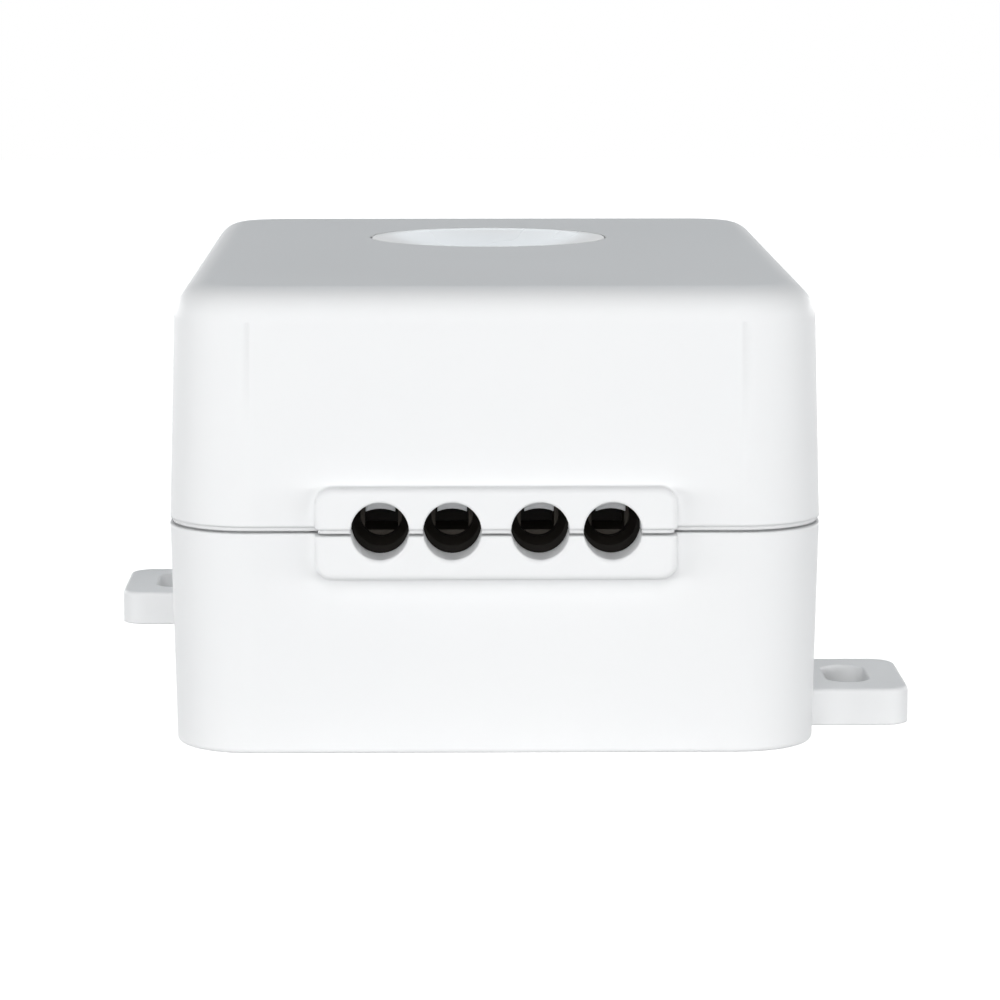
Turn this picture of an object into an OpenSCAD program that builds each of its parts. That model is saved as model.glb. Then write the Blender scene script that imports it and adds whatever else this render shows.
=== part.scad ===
// Smart relay module: a two-part moulded box with cable entries in its seam, a push button in its roof
// and slotted ears, holding a relay, its switching supply and a radio board.
// Millimetres, +Z up. The cable end faces -Y. The origin is the middle of the foot.

/* [Housing] */
// Width of the housing at the seam
body_w = 46.5; // [45:0.5:56]
// Length of the housing at the seam
body_l = 67.5; // [66.5:0.5:80]
// Height of the housing
body_h = 33.1; // [32.5:0.1:40]
// Height of the seam above the foot
seam_z = 15.94; // [15.4:0.02:17]
// Plan radius of the upright corners at the seam
corner_r = 6; // [5.5:0.25:7]
// Wall thickness
wall = 2; // [1.8:0.1:2.4]
// Floor thickness
floor_t = 2; // [1.5:0.1:3]
// Roof thickness
roof_t = 2; // [1.5:0.1:2.5]
// How far each side of the base draws in from the seam to the foot
base_draft = 0.36; // [0.1:0.02:0.6]
// How far each side of the cover draws in from the seam to the roof
cover_draft = 0.48; // [0.1:0.02:0.8]
// Radius of the edge round the roof
top_fillet = 2.5; // [1:0.1:3.4]
// Radius of the edge round the foot
foot_fillet = 0.4; // [0.2:0.1:1]

/* [Seam] */
// Open gap between the two mouldings
seam_gap = 0.16; // [0.08:0.02:0.3]
// Height of the set-back lip under the cover's skin
lip_h = 0.3; // [0.2:0.05:0.6]
// How far that lip is set back
lip_set = 0.2; // [0.1:0.05:0.4]
// Height of the base's tongue above the seam
tongue_h = 1.2; // [0.8:0.1:2]
// Thickness of the tongue
tongue_t = 0.9; // [0.6:0.1:1]
// Clearance between the tongue and the cover
tongue_clear = 0.1; // [0.05:0.05:0.2]

/* [Cable entries] */
// Pitch of the entries and terminals in a pair
pole_pitch = 5.08; // [5:0.04:5.4]
// Distance between the two inner entries
pair_gap = 6.16; // [6.1:0.02:7]
// Bore of an entry
entry_d = 4.1; // [3.7:0.1:4.4]
// Height of the entries above the seam
entry_rise = 0.26; // [0:0.02:0.5]
// Radius of the rounding below an entry's mouth
mouth_round = 0.45; // [0.2:0.05:0.6]
// Width of that rounding
mouth_w = 3.4; // [2.8:0.1:3.5]
// Width of the raised plate round the entries
plate_w = 25.4; // [24:0.2:27]
// Height of the raised plate
plate_h = 6.5; // [6:0.1:7.5]
// How far the plate stands off the wall
plate_t = 1.4; // [0.8:0.1:2]
// Corner radius of the plate
plate_r = 1.2; // [0.9:0.1:2]
// Radius of the plate's front edge
plate_fillet = 0.5; // [0.2:0.1:0.6]
// Width of the clamp tab behind each entry
tab_w = 2.1; // [1.5:0.1:3]
// Thickness of the clamp tab
tab_t = 1; // [0.8:0.1:1.5]
// How far the tab hangs below the top of its entry
tab_drop = 1; // [0.5:0.1:1.4]
// How far behind the wall the tab hangs
tab_gap = 0.6; // [0.3:0.1:1]

/* [Ears] */
// How far an ear reaches out from the seam's width
ear_reach = 7.3; // [6.5:0.1:9]
// Length of an ear along the housing
ear_l = 12.5; // [11:0.5:14]
// Thickness of an ear
ear_t = 2.7; // [2:0.1:4]
// Radius of an ear's outer corners
ear_r = 2; // [1:0.25:2.5]
// Width of an ear's slot
slot_w = 3.2; // [3:0.1:3.6]
// Length of an ear's slot, end to end
slot_l = 7; // [5:0.5:8]
// Distance from the seam's width to the middle of the slot
slot_out = 3.05; // [2.6:0.05:4]
// Distance from the cable end to the middle of the right ear
right_ear_back = 16.3; // [14:0.1:24]
// Distance from the far end to the middle of the left ear
left_ear_fore = 7.8; // [7.5:0.1:20]

/* [Button] */
// Diameter of the button
button_d = 18.8; // [17:0.2:20.4]
// Gap round the button
button_gap = 0.1; // [0.08:0.02:0.3]
// Height of the button's cap
button_h = 4.2; // [3.8:0.1:5]
// Depth of the finger dish
dish_depth = 2; // [1:0.1:2.2]
// Distance from the far end to the middle of the button
button_fore = 22.45; // [21.5:0.05:24]
// Overhang of the flange that keeps the button in
flange_over = 1.1; // [0.8:0.1:1.4]
// Thickness of the flange
flange_t = 1; // [0.8:0.1:1.4]
// Thickness of the collar that guides the flange
collar_t = 1.2; // [0.8:0.1:1.6]
// Diameter of the stem under the cap
stem_d = 4.8; // [4:0.2:6]

/* [Cover screws] */
// Outside diameter of a base pillar
pillar_d = 6.2; // [6:0.1:6.6]
// Height of the pillars above the foot
pillar_top = 14; // [13:0.25:14.5]
// Outside diameter of a cover boss
boss_d = 5.2; // [4.6:0.1:5.6]
// Screw diameter
screw_d = 2.3; // [2:0.1:2.6]
// Screw head diameter
head_d = 4.6; // [4:0.1:4.8]
// Screw head height
head_h = 2.1; // [1.6:0.1:2.4]
// Height of the seat under the screw heads above the foot
head_seat = 8; // [6:0.5:9]
// Length of the screws under the head
screw_l = 13.5; // [11:0.5:14]

/* [Board] */
// Height of the board's underside above the foot
board_z = 9; // [8:0.25:10]
// Board thickness
board_t = 1.6; // [1:0.1:2]
// Gap between the board and the walls
board_gap = 0.9; // [0.5:0.1:1.1]
// Diameter of the posts under the board
post_d = 4.2; // [4:0.1:4.6]
// Diameter of the board screws
board_screw_d = 1.8; // [1.6:0.1:2]

/* [Terminals] */
// Space between the wall and the terminal blocks
entry_space = 3.2; // [2.8:0.1:4]
// Depth of a terminal block
block_d = 8.2; // [8:0.1:8.6]
// Thickness of a block's end walls beyond its poles
block_end = 0.4; // [0.3:0.05:0.4]
// Diameter of a terminal screw's head
clamp_head_d = 3.8; // [3.4:0.1:4]
// Width of a wire cage
cage_w = 3.6; // [3.2:0.1:3.8]
// Length of a wire cage along the wire
cage_d = 4.4; // [4:0.1:4.6]
// Height of a wire cage
cage_h = 5.2; // [5:0.1:6]
// How far a cage climbs
cage_travel = 1.5; // [1:0.1:1.8]

/* [Relay] */
// Relay width
relay_w = 15.4; // [15:0.1:15.6]
// Relay length
relay_l = 19; // [19:0.1:19.6]
// Relay height
relay_h = 15.6; // [15.5:0.1:17]
// Coil bobbin diameter
coil_d = 10; // [9:0.1:10]
// Coil core diameter
core_d = 3.4; // [3:0.1:3.6]

/* [Supply] */
// Width of the transformer core
core_w = 16; // [15.5:0.1:16.4]
// Height of the transformer core
core_h = 13; // [12:0.1:15]
// Thickness of the transformer core
core_t = 5; // [4:0.1:5.4]
// Depth of the transformer bobbin
bobbin_d = 12.4; // [11:0.1:12.6]
// Diameter of the mains capacitor
mains_cap_d = 10; // [8:0.1:10]
// Height of the mains capacitor
mains_cap_h = 14; // [10:0.5:16]
// Diameter of the output capacitor
output_cap_d = 6.3; // [5:0.1:6.6]
// Height of the output capacitor
output_cap_h = 11; // [8:0.5:13]
// Width of the film capacitor
film_w = 13; // [10:0.1:13]
// Thickness of the film capacitor
film_t = 5; // [4:0.1:5.4]
// Height of the film capacitor
film_h = 11; // [8:0.5:13]
// Diameter of the varistor
varistor_d = 7.4; // [6:0.1:7.6]
// Thickness of the varistor
varistor_t = 3.4; // [2.6:0.1:3.6]

/* [Radio and switch] */
// Length of the radio board
radio_l = 22; // [20:0.5:22]
// Height of the radio board
radio_h = 15; // [13:0.5:16]
// Thickness of the radio board
radio_t = 1; // [0.8:0.1:1]
// Side of the square tact switch
switch_w = 6; // [5.8:0.1:6.2]
// Height of the tact switch body
switch_body_h = 3.5; // [3:0.1:4]
// Height of the tact switch to the top of its plunger
switch_h = 13; // [11:0.25:14]

/* [Hidden] */
$fn = 64;

// Overlap that makes cuts and joined solids run through each other
over = 0.5;
// Clearance of a part that only has to drop into place
fit = 0.1;
// Clearance of a part that slides or turns in another
slip = 0.05;

// Seam levels
base_rim = seam_z - seam_gap / 2;
cover_rim = seam_z + seam_gap / 2;
skin_rim = cover_rim + lip_h;
tongue_top = seam_z + tongue_h;
roof_under = body_h - roof_t;

// Cable entries and poles, from left to right
entry_z = seam_z + entry_rise;
entry_x = [for (side = [-1, 1], far = [0, 1])
  side * (pair_gap / 2 + pole_pitch * (side < 0 ? 1 - far : far))];
front_y = -body_l / 2;
front_inside = front_y + wall;
tongue_end = 0.4;
tongue_break = plate_w / 2 + tongue_end;
tab_root = 2.6;
tab_arch = 2.7;

// Ears: the side that each one is on, and its middle along the housing
ears = [[1, front_y + right_ear_back], [-1, body_l / 2 - left_ear_fore]];
slot_x = body_w / 2 + slot_out;

// Button
button_y = body_l / 2 - button_fore;
cap_under = body_h - button_h;
flange_r = button_d / 2 + flange_over;
collar_skirt = 2.4;
collar_h = flange_t + collar_skirt;

// Pillars stand on the centres of the rounded corners
pillar_x = body_w / 2 - corner_r;
pillar_y = body_l / 2 - corner_r;

// Board outline, posts and rows of parts
board_w = body_w - 2 * (wall + base_draft + board_gap);
board_l = body_l - 2 * (wall + base_draft + board_gap);
board_top = board_z + board_t;
lead_out = 1.4;
lead_end = board_z - lead_out;
notch_gap = 0.7;
notch_x = pillar_x - pillar_d / 2 - notch_gap;
notch_y = pillar_y - pillar_d / 2 - notch_gap;
post_inset = 3;
post_edge = 1.2;
post_x = board_w / 2 - post_inset;
post_y = notch_y - post_d / 2 - post_edge;
peg_rise = 0.8;
board_screw_bite = 3.5;
board_head_d = 3.6;
board_head_h = 1.3;
block_front = front_inside + entry_space;
block_back = block_front + block_d;
row_gap = 0.9;
power_gap = 1.3;
guard_row = block_back + row_gap + varistor_t / 2;
power_row = guard_row + varistor_t / 2 + power_gap;

// Terminals: the wires run straight in from the entries, under the fixed conductors
block_w = pole_pitch * 2 + 2 * block_end;
clamp_y = block_front + block_d / 2;
cage_wall = 0.6;
cage_bar = 1.2;
tail_t = 0.8;
tail_w = 2;
tail_inset = 1.15;
tail_y = block_back - tail_inset;
bar_gap = 0.3;
wire_room = cage_h - cage_wall - cage_bar - tail_t - bar_gap;
wire_mouth_d = 3;
wire_funnel_d = 4.6;
wire_funnel_l = 0.9;
cage_z = entry_z - cage_wall - wire_room / 2;
tail_z = cage_z + cage_wall + wire_room;
chamber_top = cage_z + cage_h + cage_travel + fit;
head_web = 0.7;
clamp_head_h = 1.4;
clamp_slot_w = 0.7;
clamp_slot_h = 0.8;
clamp_shaft_d = 2.4;
clamp_head_z = chamber_top + head_web;
block_top = clamp_head_z + clamp_head_h + fit;
block_slope = 1.7;

// Relay
relay_edge = 0.6;
relay_x = board_w / 2 - relay_edge - relay_w / 2;
relay_y = power_row + relay_l / 2;
case_t = 0.8;
relay_foot = 0.4;
relay_floor = 2;
coil_y = 2;
yoke_t = 1.2;
yoke_w = 9;
yoke_gap = 0.3;
yoke_back = relay_l / 2 - case_t - yoke_gap;
yoke_front = yoke_back - yoke_t;
coil_z = relay_floor + yoke_t + slip;
coil_flange = 0.7;
coil_tube = 0.7;
coil_l = 7.3;
pole_z = coil_z + coil_l + slip;
pole_t = 0.6;
pole_d = 5.6;
pole_under = 0.3;
yoke_top = pole_z + pole_t + pole_under;
armature_gap = 0.15;
armature_z = yoke_top + armature_gap;
armature_t = 1;
armature_w = 8.6;
spring_z = armature_z + armature_t;
spring_t = 0.2;
contact_d = 2;
contact_t = 0.4;
contact_gap = 0.03;
leaf_t = 0.4;
leaf_w = 1.6;
leaf_x = 3.8;
leaf_gap = 0.3;
leaf_y = -relay_l / 2 + case_t + leaf_gap + leaf_t / 2;
contact_y = leaf_y + leaf_t + contact_d / 2 + 2 * fit;
armature_swing = 2.5;
hinge_in = 0.4;
hinge_y = yoke_back - hinge_in;
contact_fall = (hinge_y - contact_y + contact_d / 2) * sin(armature_swing);
coil_pin = [5.8, 6];
coil_pin_d = 0.8;
pin_rise = 1;

// Supply: the parts stand in rows behind the terminals, set in from the board's left edge
supply_edge = 1.9;
transformer_x = -(board_w / 2 - supply_edge - core_w / 2);
transformer_y = power_row + bobbin_d / 2;
transformer_lift = 0.6;
transformer_z = board_top + transformer_lift;
centre_leg = 4.6;
outer_leg = 2.3;
core_window = (core_w - centre_leg) / 2 - outer_leg;
bobbin_flange = 0.8;
bobbin_tube = 0.7;
bobbin_low = outer_leg + fit;
bobbin_high = core_h - outer_leg - fit;
bobbin_pin_in = 1;
film_x = -board_w / 2 + supply_edge - row_gap / 2 + film_w / 2;
film_y = transformer_y + bobbin_d / 2 + row_gap + film_t / 2;
mains_cap_x = -board_w / 2 + supply_edge + 1.5 * row_gap + mains_cap_d / 2;
mains_cap_y = film_y + film_t / 2 + row_gap + mains_cap_d / 2;
output_cap_x = board_w / 2 - relay_edge - output_cap_d / 2;
output_cap_y = relay_y + relay_l / 2 + row_gap + output_cap_d / 2;
resistor_x = -6.5;
resistor_d = 3.2;
resistor_l = 9;
resistor_bend = 1.2;
resistor_spread = resistor_l + 2 * resistor_bend;
varistor_x = 6;
rectifier_w = 6.2;
rectifier_l = 3.4;
rectifier_h = 2.4;
rectifier_pitch = 4;
chip_w = 4.9;
chip_l = 3.8;
chip_h = 1.5;
chip_pitch = 1.27;
lead_d = 0.7;
lead_hole_d = lead_d + 2 * fit;
mains_lead = 5;
film_lead = 10;
output_lead = 2.5;
varistor_lead = 5;
bobbin_lead = 10;

// Radio and switch
radio_back = 0.5;
header_w = 2;
header_l = 8;
header_in = 1.5;
header_x = -radio_l / 2 + header_in + header_l / 2;
header_pins = 5;
radio_y = board_l / 2 - radio_back - header_w - radio_t / 2;
header_y = radio_y + radio_t / 2 + header_w / 2;
shield_t = 2.2;
shield_in = 1.5;
frame_t = 0.3;
leg_out = 0.4;
leg_x = switch_w / 2 + leg_out;
leg_y = 2.25;
leg_w = 0.7;
leg_t = 0.25;
leg_hole_d = 1.3;
plunger_d = 3.4;
plunger_foot_d = 4.1;
led_w = 3.5;
led_l = 2.8;
led_h = 1.9;
led_eye_d = 2.6;
led_eye_floor = 1.8;
led_eye_h = 0.6;
led_gap = 1;
led_y = button_y + switch_w / 2 + led_gap + led_l / 2;

// Where leads pass through the board: [x, y, diameter of the hole]
lead_holes = concat(
  [for (x = entry_x) [x, tail_y, tail_w + 6 * fit]],
  [for (s = [-1, 1]) each [
    [resistor_x + s * resistor_spread / 2, guard_row, lead_hole_d],
    [varistor_x + s * varistor_lead / 2, guard_row, lead_hole_d],
    [mains_cap_x + s * mains_lead / 2, mains_cap_y, lead_hole_d],
    [film_x + s * film_lead / 2, film_y, lead_hole_d],
    [output_cap_x + s * output_lead / 2, output_cap_y, lead_hole_d],
    [relay_x + s * coil_pin[0], relay_y + coil_pin[1], coil_pin_d + 2 * fit],
    [relay_x + s * leaf_x, relay_y + leaf_y, leaf_w + 4 * fit]
  ]],
  [for (s = [-1, 1], t = [-1, 1]) each [
    [transformer_x + s * bobbin_lead / 2, transformer_y + t * (bobbin_d / 2 - bobbin_pin_in), lead_hole_d],
    [s * leg_x, button_y + t * leg_y, leg_hole_d]
  ]],
  [[relay_x, relay_y + yoke_back - yoke_t / 2, leaf_w + 4 * fit]],
  [for (i = [0:header_pins - 1]) [pin_x(i), header_y, lead_hole_d]]
);
function pin_x(i) = header_x + (i - (header_pins - 1) / 2) * header_l / header_pins;

// A block whose sides lean and whose upright corners are round: inset_0 and inset_1 draw the outline
// in at the two ends, fillet_0 and fillet_1 round its bottom and top edges
module drafted_block(w, l, r, z_0, z_1, inset_0 = 0, inset_1 = 0, fillet_0 = 0, fillet_1 = 0) {
  module half_profile(reach) {
    lean = atan((inset_1 - inset_0) / (z_1 - z_0));
    function side(z) = reach - inset_0 - (inset_1 - inset_0) * (z - z_0) / (z_1 - z_0);
    // the arc meets the wall and the end face at the angle cross, 0 where it runs into them smoothly
    module edge(z, f, up, cross) {
      c = [side(z - up * f) - f * cos(cross), z - up * f * cos(cross)];
      difference() {
        polygon([for (d = [[0, 0], [cos(lean), up * abs(sin(lean))], [1, up], [0, up]]) c + 2 * f * d]);
        translate(c) circle(f);
      }
    }
    difference() {
      polygon([[0, z_0], [side(z_0), z_0], [side(z_1), z_1], [0, z_1]]);
      if (fillet_0 > 0) edge(z_0, fillet_0, -1, 10);
      if (fillet_1 > 0) edge(z_1, fillet_1, 1, 0);
    }
  }
  module run(half, length) {
    translate([0, length / 2, 0]) rotate([90, 0, 0]) linear_extrude(length) {
      half_profile(half);
      mirror([1, 0]) half_profile(half);
    }
  }
  for (x = [-1, 1], y = [-1, 1])
    translate([x * (w / 2 - r), y * (l / 2 - r), 0]) rotate_extrude() half_profile(r);
  run(w / 2, l - 2 * r);
  rotate([0, 0, 90]) run(l / 2, w - 2 * r);
}

// The housing's outline moved in by a distance, between two heights
module housing(in, z_0, z_1, inset_0 = 0, inset_1 = 0, fillet_0 = 0, fillet_1 = 0) {
  drafted_block(body_w - 2 * in, body_l - 2 * in, corner_r - in, z_0, z_1,
    inset_0, inset_1, fillet_0, fillet_1);
}

// Everything between two heights
module layer(z_0, z_1) {
  translate([-body_w, -body_l, z_0]) cube([2 * body_w, 2 * body_l, z_1 - z_0]);
}

// The raised plate round the cable entries, moved in by a distance
module entry_plate(in) {
  translate([0, front_y + over, seam_z]) rotate([90, 0, 0])
    drafted_block(plate_w - 2 * in, plate_h - 2 * in, plate_r - in, 0, plate_t + over - in,
      fillet_1 = plate_fillet);
}

// The bores of the cable entries, each with its mouth rounded below, where a wire bends down
module entry_bores() {
  // angle at which the rounding runs into the bore
  cross = 20;
  drop = (entry_d - mouth_w) / 2 + mouth_round * cos(cross);
  for (x = entry_x) translate([x, front_y - plate_t, entry_z]) rotate([-90, 0, 0]) {
    translate([0, 0, -over]) cylinder(d = entry_d, h = over + plate_t + wall + tab_gap);
    translate([0, drop, 0]) rotate_extrude() difference() {
      translate([0, -over]) square([mouth_w / 2, over + mouth_round]);
      translate([mouth_w / 2, mouth_round]) circle(mouth_round);
    }
  }
}

module at_pillars() {
  for (x = [-1, 1], y = [-1, 1]) translate([x * pillar_x, y * pillar_y, 0]) children();
}

// Cross recess of a screw head, cut upwards from the origin
module cross_recess(span, depth) {
  for (turn = [0, 90]) rotate([0, 0, turn])
    translate([-span / 2, -span / 8, 0]) cube([span, span / 4, depth]);
}

module box(size) {
  translate([-size[0] / 2, -size[1] / 2, 0]) cube(size);
}

// Two straight leads in a row along X, down from the origin
module lead_pair(spread) {
  for (s = [-1, 1]) translate([s * spread / 2, 0, lead_end - board_top])
    cylinder(d = lead_d, h = board_top - lead_end);
}

// Ear with round outer corners, and a root that also meets a rounded corner of the housing
module ear_plate(side, y) {
  edge = 0.3;
  root = corner_r + ear_r;
  reach = corner_r + ear_reach;
  translate([side * (pillar_x + reach / 2), y, 0]) drafted_block(reach, ear_l, ear_r, 0, ear_t, fillet_1 = edge);
  translate([side * (pillar_x + root / 2), y, 0]) box([root, ear_l, ear_t - edge]);
}

module ear_slot(side, y) {
  straight = slot_l - slot_w;
  translate([side * slot_x, y, -over]) {
    for (s = [-1, 1]) translate([0, s * straight / 2, 0]) cylinder(d = slot_w, h = ear_t + 2 * over);
    box([slot_w, straight, ear_t + 2 * over]);
  }
}

module base_shell() {
  color("white") difference() {
    union() {
      difference() {
        union() {
          housing(0, 0, base_rim, base_draft, 0, foot_fillet, 0);
          housing(wall - tongue_t, floor_t, tongue_top);
          intersection() { entry_plate(0); layer(0, base_rim); }
          for (e = ears) ear_plate(e[0], e[1]);
        }
        housing(wall, floor_t, tongue_top + over, base_draft, 0, 1);
        // the tongue stops on either side of the cable entries
        translate([0, front_y, base_rim]) box([2 * tongue_break, 4 * wall, tongue_h + over]);
      }
      at_pillars() translate([0, 0, floor_t - over])
        cylinder(d = pillar_d, h = pillar_top - floor_t + over);
      for (x = [-1, 1], y = [-1, 1]) translate([x * post_x, y * post_y, floor_t - over]) {
        cylinder(d = post_d, h = board_z - floor_t + over);
        // the two posts without a screw carry a locating peg
        if (x * y > 0) cylinder(d = board_screw_d, h = board_top + peg_rise - floor_t + over);
      }
    }
    entry_bores();
    for (e = ears) ear_slot(e[0], e[1]);
    at_pillars() {
      translate([0, 0, -over]) cylinder(d = head_d + 4 * fit, h = head_seat + over);
      cylinder(d = screw_d + 4 * fit, h = pillar_top + over);
    }
    for (x = [-1, 1]) translate([x * post_x, -x * post_y, board_z - board_screw_bite - over])
      cylinder(d = board_screw_d + 2 * slip, h = board_screw_bite + 2 * over);
  }
}

// Small tab that hangs behind an entry and presses on its wire
module clamp_tab(x) {
  reach = tab_gap + tab_t;
  translate([x, front_inside, entry_z + entry_d / 2 - tab_drop]) difference() {
    translate([-tab_w / 2, -over, -over]) cube([tab_w, over + reach, over + tab_root]);
    translate([0, -2 * over, -tab_arch]) rotate([-90, 0, 0])
      cylinder(r = tab_arch, h = reach + 4 * over);
  }
}

module cover_shell() {
  color("white") {
    difference() {
      union() {
        housing(0, skin_rim, body_h, 0, cover_draft, 0, top_fillet);
        housing(lip_set, cover_rim, skin_rim + over);
        intersection() { entry_plate(0); layer(skin_rim, body_h); }
        intersection() { entry_plate(lip_set); layer(cover_rim, skin_rim + over); }
      }
      difference() {
        union() {
          housing(wall, cover_rim - over, roof_under, 0, cover_draft, 0, 1);
          difference() {
            housing(wall - tongue_t - tongue_clear, cover_rim - over, tongue_top);
            translate([0, front_y, cover_rim - 2 * over])
              box([2 * (tongue_break - tongue_clear), 2 * wall, tongue_h + 4 * over]);
          }
        }
        // what stays in the hollow: clamp tabs, button collar and screw bosses
        for (x = entry_x) clamp_tab(x);
        translate([0, button_y, roof_under - collar_h])
          cylinder(r = flange_r + 2 * fit + collar_t, h = roof_under);
        at_pillars() translate([0, 0, pillar_top + fit]) cylinder(d = boss_d, h = roof_under);
      }
      entry_bores();
      translate([0, button_y, roof_under - over])
        cylinder(r = button_d / 2 + button_gap, h = roof_t + 2 * over);
      translate([0, button_y, 0]) cylinder(r = flange_r + 2 * fit, h = roof_under);
      at_pillars() cylinder(d = screw_d + 2 * slip, h = head_seat + screw_l + 1);
    }
    at_pillars() translate([0, 0, pillar_top + fit]) difference() {
      cylinder(d = boss_d, h = cover_rim - pillar_top);
      translate([0, 0, -over]) cylinder(d = screw_d + 2 * slip, h = cover_rim);
    }
  }
}

module push_button() {
  dish_rim = 0.2;
  dish_a = button_d / 2 - dish_rim;
  dish_r = (dish_a * dish_a + dish_depth * dish_depth) / (2 * dish_depth);
  stem_under = board_top + switch_h + slip;
  rim_t = 1.6;
  hollow_h = 0.9;
  rib_l = (button_d + stem_d) / 2;
  rib_t = 1.2;
  rib_h = 1.6;
  color("white") translate([0, button_y, 0]) {
    difference() {
      union() {
        translate([0, 0, cap_under]) cylinder(d = button_d, h = button_h);
        translate([0, 0, roof_under - slip - flange_t]) cylinder(r = flange_r, h = flange_t);
      }
      translate([0, 0, body_h - dish_depth + dish_r]) sphere(dish_r, $fn = 96);
      // hollow under the cap, round the stem
      translate([0, 0, cap_under - over]) difference() {
        cylinder(d = button_d - 2 * rim_t, h = over + hollow_h);
        cylinder(d = stem_d, h = 2 * over + hollow_h);
      }
    }
    translate([0, 0, stem_under]) cylinder(d = stem_d, h = cap_under + over - stem_under);
    for (turn = [45, 135]) rotate([0, 0, turn])
      translate([0, 0, cap_under - rib_h]) box([rib_l, rib_t, rib_h + hollow_h + over / 2]);
  }
}

module cover_screws() {
  recess = 1.2;
  color("silver") at_pillars() difference() {
    union() {
      translate([0, 0, head_seat - head_h]) cylinder(d = head_d, h = head_h);
      translate([0, 0, head_seat - over]) cylinder(d = screw_d, h = screw_l + over);
    }
    translate([0, 0, head_seat - head_h - over]) cross_recess(head_d * 0.6, over + recess);
  }
}

module circuit_board() {
  color("darkgreen") difference() {
    translate([0, 0, board_z]) box([board_w, board_l, board_t]);
    for (x = [-1, 1], y = [-1, 1])
      translate([x * (notch_x + board_w / 2), y * (notch_y + board_l / 2), board_z - over])
        box([board_w, board_l, board_t + 2 * over]);
    for (x = [-1, 1], y = [-1, 1]) translate([x * post_x, y * post_y, board_z - over])
      cylinder(d = board_screw_d + 2 * fit, h = board_t + 2 * over);
    for (h = lead_holes) translate([h[0], h[1], board_z - over])
      cylinder(d = h[2], h = board_t + 2 * over, $fn = 24);
  }
}

module board_screws() {
  recess = 0.7;
  shank = board_screw_bite + board_t;
  color("silver") for (x = [-1, 1]) translate([x * post_x, -x * post_y, board_top]) difference() {
    union() {
      cylinder(d = board_head_d, h = board_head_h);
      translate([0, 0, -shank]) cylinder(d = board_screw_d, h = shank + over);
    }
    translate([0, 0, board_head_h - recess]) cross_recess(board_head_d * 0.6, recess + over);
  }
}

// Two-pole block: side is -1 for the left one, 1 for the right one
module terminal_block(side) {
  middle = side * (pair_gap + pole_pitch) / 2;
  high = block_top - board_top;
  color("black") translate([middle, clamp_y, 0]) difference() {
    translate([0, 0, board_top]) box([block_w, block_d, high]);
    // sloped upper front edge
    translate([0, -block_d / 2, block_top]) rotate([45, 0, 0])
      translate([0, 0, -block_slope / 2]) box([2 * block_w, block_slope, block_slope]);
    for (s = [-1, 1]) translate([s * pole_pitch / 2, 0, 0]) {
      // chamber that the cage climbs in
      translate([0, 0, cage_z - fit])
        box([cage_w + 2 * fit, cage_d + 2 * fit, chamber_top - cage_z + fit]);
      // screw shaft and head
      translate([0, 0, chamber_top - over]) cylinder(d = clamp_shaft_d + 4 * slip, h = high);
      translate([0, 0, clamp_head_z - slip]) cylinder(d = clamp_head_d + 2 * fit, h = high);
      // wire mouth with its funnel
      translate([0, -block_d / 2 - over, entry_z]) rotate([-90, 0, 0]) {
        cylinder(d = wire_mouth_d, h = block_d / 2 + over);
        cylinder(d1 = wire_funnel_d, d2 = wire_mouth_d, h = over + wire_funnel_l);
      }
      // seat of the fixed conductor: its tongue, then its tail
      translate([-tail_w / 2 - slip, 0, tail_z - slip])
        cube([tail_w + 2 * slip, block_d / 2 - tail_inset + tail_t / 2 + slip, tail_t + 2 * slip]);
      translate([0, block_d / 2 - tail_inset, board_top - over])
        box([tail_w + 2 * slip, tail_t + 2 * slip, tail_z - board_top + tail_t + over + slip]);
    }
  }
}

module terminal_screw(x) {
  tip = tail_z + tail_t + fit;
  color("silver") translate([x, clamp_y, 0]) difference() {
    union() {
      translate([0, 0, tip]) cylinder(d = clamp_shaft_d, h = clamp_head_z - tip + over);
      translate([0, 0, clamp_head_z]) cylinder(d = clamp_head_d, h = clamp_head_h);
    }
    translate([0, 0, clamp_head_z + clamp_head_h - clamp_slot_h])
      box([2 * clamp_head_d, clamp_slot_w, clamp_slot_h + over]);
  }
}

// Square loop that the screw draws up against the fixed conductor
module wire_cage(x) {
  color("gold") translate([x, clamp_y, cage_z]) difference() {
    box([cage_w, cage_d, cage_h]);
    translate([0, 0, cage_wall])
      box([cage_w - 2 * cage_wall, 2 * cage_d, cage_h - cage_wall - cage_bar]);
    translate([0, 0, cage_h - cage_bar - over])
      cylinder(d = clamp_shaft_d + 2 * slip, h = cage_bar + 2 * over);
  }
}

module terminal_tails() {
  tip = clamp_y - cage_d / 2 + bar_gap;
  color("silver") for (x = entry_x) {
    translate([x - tail_w / 2, tip, tail_z]) cube([tail_w, tail_y + tail_t / 2 - tip, tail_t]);
    translate([x, tail_y, lead_end]) box([tail_w, tail_t, tail_z + tail_t - lead_end]);
  }
}

// Places a relay piece: the relay stands on the board
module in_relay() {
  translate([relay_x, relay_y, board_top]) children();
}

// The relay's pins, grown by a clearance so that they can also cut their holes
module relay_pins(grow) {
  low = lead_end - board_top;
  for (s = [-1, 1]) {
    translate([s * coil_pin[0], coil_pin[1], low])
      cylinder(d = coil_pin_d + 2 * grow, h = relay_floor + pin_rise - low);
    translate([s * leaf_x, leaf_y, low])
      box([leaf_w + 2 * grow, leaf_t + 2 * grow, relay_floor + pin_rise - low]);
  }
}

module yoke_pin(grow) {
  low = lead_end - board_top;
  translate([0, yoke_back - yoke_t / 2, low])
    box([leaf_w + 2 * grow, 2 * leaf_t + 2 * grow, relay_floor + slip - low]);
}

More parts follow.
